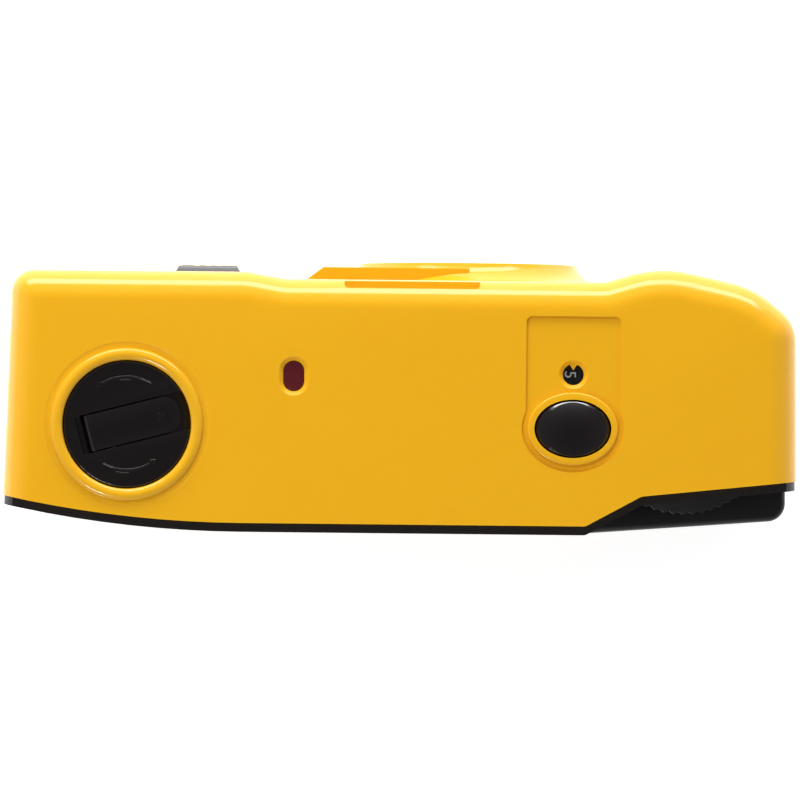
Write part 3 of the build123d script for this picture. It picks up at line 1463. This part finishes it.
def rewind_knob():
    """Black disc with the slot that the crank folds into."""
    knob = rod_z(knob_radius, knob_floor_z, knob_top_z, cartridge_x, knob_y)
    knob = fillet(knob.edges().group_by(Axis.Z)[-1], run_gap)
    length = knob_radius * 2
    slot = crank_frame(length / 2 - crank_slot_end, 0, knob_top_z) * Box(length, crank_width + run_gap,
                                                                        2 * crank_slot_depth)
    pin_z = knob_top_z - crank_height / 2 - shaft_gap
    pin = crank_frame(-crank_pivot, 0, pin_z) * Rot(90, 0, 0) * Cylinder(crank_pin_radius + seat_gap, crank_width
                                                                        + 2 * crank_slot_depth)
    bore = rod_z(shaft_radius / 2, knob_floor_z - overrun, knob_floor_z + crank_slot_depth / 2, cartridge_x, knob_y)
    return knob - slot - pin - bore


def crank_lever():
    """Flat rewind crank with a round tip and an eye at its hinge."""
    pin_z = knob_top_z - crank_height / 2 - shaft_gap
    half = crank_width / 2 - shaft_gap
    length = crank_tip + crank_pivot
    tip_arc = half * 0.8
    arm = crank_frame(-crank_pivot + length / 2, 0, pin_z) * Box(length, 2 * half, crank_height)
    eye = crank_frame(-crank_pivot, 0, pin_z) * Rot(90, 0, 0) * Cylinder(crank_height / 2, 2 * half)
    lever = arm + eye
    tip = crank_frame(crank_tip, 0, pin_z).position
    corners = [edge for edge in lever.edges().filter_by(Axis.Z) if (edge.center() - tip).length < crank_width]
    lever = fillet(corners, tip_arc)
    return lever - crank_frame(-crank_pivot, 0, pin_z) * Rot(90, 0, 0) * Cylinder(crank_pin_radius + shaft_gap,
                                                                                 2 * crank_width)


def crank_pin():
    """Cross pin that the crank folds on."""
    pin_z = knob_top_z - crank_height / 2 - shaft_gap
    return crank_frame(-crank_pivot, 0, pin_z) * Rot(90, 0, 0) * Cylinder(crank_pin_radius, crank_width
                                                                         + 2 * crank_slot_depth)


def rewind_shaft():
    """Shaft under the knob, ending in the fork that turns the cartridge spool."""
    shaft = rod_z(shaft_radius, fork_z, knob_floor_z, cartridge_x, knob_y)
    shaft += rod_z(shaft_radius / 2 - seat_gap, knob_floor_z - seat_gap, knob_floor_z + crank_slot_depth / 2
                   - seat_gap, cartridge_x, knob_y)
    for side in (-1, 1):
        x = sorted([cartridge_x + side * fork_blade / 2, cartridge_x + side * 2 * shaft_radius])
        shaft -= slab(x[0], x[1], knob_y - 2 * shaft_radius, knob_y + 2 * shaft_radius, fork_z - overrun,
                      fork_z + fork_height)
    return shaft


def rewind_collar():
    """Collar under the knob that rises with the shaft but doesn't turn with it."""
    top_z = knob_floor_z - seat_gap
    return ring_z(collar_radius, shaft_radius + shaft_gap, top_z - collar_height, top_z, cartridge_x, knob_y)


# Film advance
def advance_wheel():
    """Knurled thumbwheel with its ratchet ring underneath."""
    rim = flat_plate(star(knurls, wheel_radius, wheel_radius - knurl_depth, 0.5), spool_x, spool_y, wheel_z,
                     wheel_z + wheel_height)
    ratchet = flat_plate(star(ratchet_teeth, ratchet_radius, ratchet_radius - ratchet_depth, 0.9), spool_x, spool_y,
                         wheel_z - ratchet_height, wheel_z + seat_gap)
    bore = rod_z(spool_shaft_radius + seat_gap, wheel_z - overrun, wheel_z + wheel_height / 2, spool_x, spool_y)
    return rim + ratchet - bore


def takeup_spool():
    """Slotted spool with flanges, a lower journal and the shaft up to the wheel."""
    z0 = chamber_floor_z + end_gap
    z1 = deck_z - end_gap
    spool = rod_z(spool_radius, z0, z1, spool_x, spool_y)
    for z in (z0, z1 - spool_flange_wall):
        spool += rod_z(spool_flange_radius, z, z + spool_flange_wall, spool_x, spool_y)
    mid = (z0 + z1) / 2
    for slot in range(spool_slots):
        cut = Box(spool_radius, spool_slot_width, spool_slot_height)
        spool -= Pos(spool_x, spool_y, mid) * Rot(0, 0, 360 / spool_slots * slot) * Pos(spool_radius, 0, 0) * cut
    spool += rod_z(journal_radius, chamber_floor_z - chassis_wall, z0 + seat_gap, spool_x, spool_y)
    spool += rod_z(spool_shaft_radius, z1 - seat_gap, wheel_z + wheel_height / 2 - seat_gap, spool_x, spool_y)
    bore_top = chassis_floor_z + release_rod_length + release_travel + base_room
    return spool - rod_z(spool_bore, 0, bore_top, spool_x, spool_y)


def reverse_pawl():
    """Pawl that stops the wheel from turning back, resting clear of the ratchet's tips."""
    pivot = polar(spool_x, spool_y, pawl_pivot_radius, pawl_pivot_turn)
    tip = polar(spool_x, spool_y, pawl_tip_radius, pawl_tip_turn)
    nose = polar(spool_x, spool_y, pawl_nose_radius, pawl_tip_turn - 2)
    z0 = deck_top_z + fit_gap
    outline = trace(Polyline(pivot, tip), line_width=pawl_width) + trace(Polyline(tip, nose), line_width=pawl_width / 2)
    outline += Pos(*pivot) * Circle(pawl_eye_radius) + Pos(*tip) * Circle(pawl_width / 2)
    pawl = Pos(0, 0, z0) * extrude(outline, pawl_wall)
    return pawl - rod_z(pawl_pin_radius + shaft_gap, deck_z, ceiling_z, *pivot)


def sprocket():
    """Eight-tooth film sprocket with its shaft up to the counter finger."""
    z0 = sprocket_floor_z
    z1 = z0 + sprocket_body_height
    body = rod_z(sprocket_radius - fit_gap, z0, z1, sprocket_x, sprocket_y)
    root = sprocket_radius - 2 * fit_gap
    reach = sprocket_tooth_reach + 2 * fit_gap
    for tooth in range(sprocket_teeth):
        cone = Rot(0, 90, 0) * Cone(sprocket_tooth_radius, sprocket_tooth_radius / 2, reach)
        turn = 360 / sprocket_teeth * tooth
        body += Pos(sprocket_x, sprocket_y, sprocket_z) * Rot(0, 0, turn) * Pos(root + reach / 2, 0, 0) * cone
    body += rod_z(sprocket_shaft_radius, z1 - seat_gap, dial_top_z, sprocket_x, sprocket_y)
    body += slab(sprocket_x, sprocket_x + finger_radius, sprocket_y - finger_width / 2, sprocket_y + finger_width / 2,
                 dial_z, dial_top_z)
    return body - rod_z(sprocket_shaft_radius / 2 + shaft_gap, z0 - overrun, z0 + chassis_wall + end_gap, sprocket_x,
                        sprocket_y)


def rewind_release_button():
    """Button in the floor whose rod reaches up into the take-up spool."""
    head_z = fit_gap
    flange_z = cover_wall + fit_gap
    button = rod_z(release_head_radius, head_z, flange_z + seat_gap, spool_x, spool_y)
    button = fillet(button.edges().group_by(Axis.Z)[0], run_gap)
    button += rod_z(release_flange_radius, flange_z, flange_z + release_flange_wall, spool_x, spool_y)
    top_z = flange_z + release_rod_length
    return button + rod_z(release_rod_radius, flange_z, top_z, spool_x, spool_y)


def release_spring():
    """Return spring of the rewind release."""
    base_z = cover_wall + fit_gap + release_flange_wall + seat_gap
    height = chamber_floor_z - chassis_wall - base_z - seat_gap
    return Pos(spool_x, spool_y, base_z) * coil(release_rod_radius + 3 * spring_wire, spring_wire, height,
                                                spring_turns / 2)


# Small parts of the cover
def strap_bar():
    """Steel bar across the strap pocket."""
    half = strap_length / 2 + strap_wall / 2
    return rod_z(strap_bar_radius, strap_z - half, strap_z + half, strap_bar_x, strap_y)


def cover_screws():
    """Four slotted screws that hold the chassis to the floor of the cover."""
    screws = []
    for x, y in screw_places():
        z0 = fit_gap
        z1 = z0 + screw_head_height
        screw = rod_z(screw_head_radius, z0, z1, x, y) + rod_z(screw_radius, z1 - seat_gap, screw_length, x, y)
        for turn in (0, 90):
            screw -= Pos(x, y, z0) * Rot(0, 0, turn) * Box(screw_head_radius * 1.4, screw_slot, screw_slot * 1.4)
        screws.append(screw)
    return screws


def all_nodes():
    """Every piece of the camera by its node's name."""
    makers = [
        front_cover, main_body, back_door, hinge_pin, pressure_plate, pressure_spring, door_seal, door_latch,
        latch_spring, lens_bezel, lens_barrel, front_lens, lens_retainer, aperture_plate, shutter_plate,
        shutter_blade, drive_lever, shutter_spring, viewfinder_housing, viewfinder_lens, eyepiece_lens,
        flash_window, flash_reflector, flash_tube, flash_board, flash_capacitor, flash_transformer, trigger_coil,
        switch_contact, ready_lamp, ready_window, flash_switch, battery, battery_top_contact, battery_door,
        battery_door_pin, battery_door_contact, shutter_button, button_spring, release_lever, release_pin,
        counter_dial, counter_window, rewind_knob, crank_lever, crank_pin, rewind_collar, rewind_shaft,
        advance_wheel, takeup_spool, reverse_pawl, sprocket, rewind_release_button, release_spring, strap_bar,
        cover_screws,
    ]
    return {maker.__name__: maker() for maker in makers}


def main():
    """Write one STEP file per node."""
    os.makedirs("parts", exist_ok=True)
    for name, shape in all_nodes().items():
        if isinstance(shape, list):
            shape = Compound(children=shape)
        export_step(shape, f"parts/{name}.step")
    print(f"body {body_width:.1f} x {seam_depth + front_depth + band:.1f} x {body_height:.1f} mm")


main()
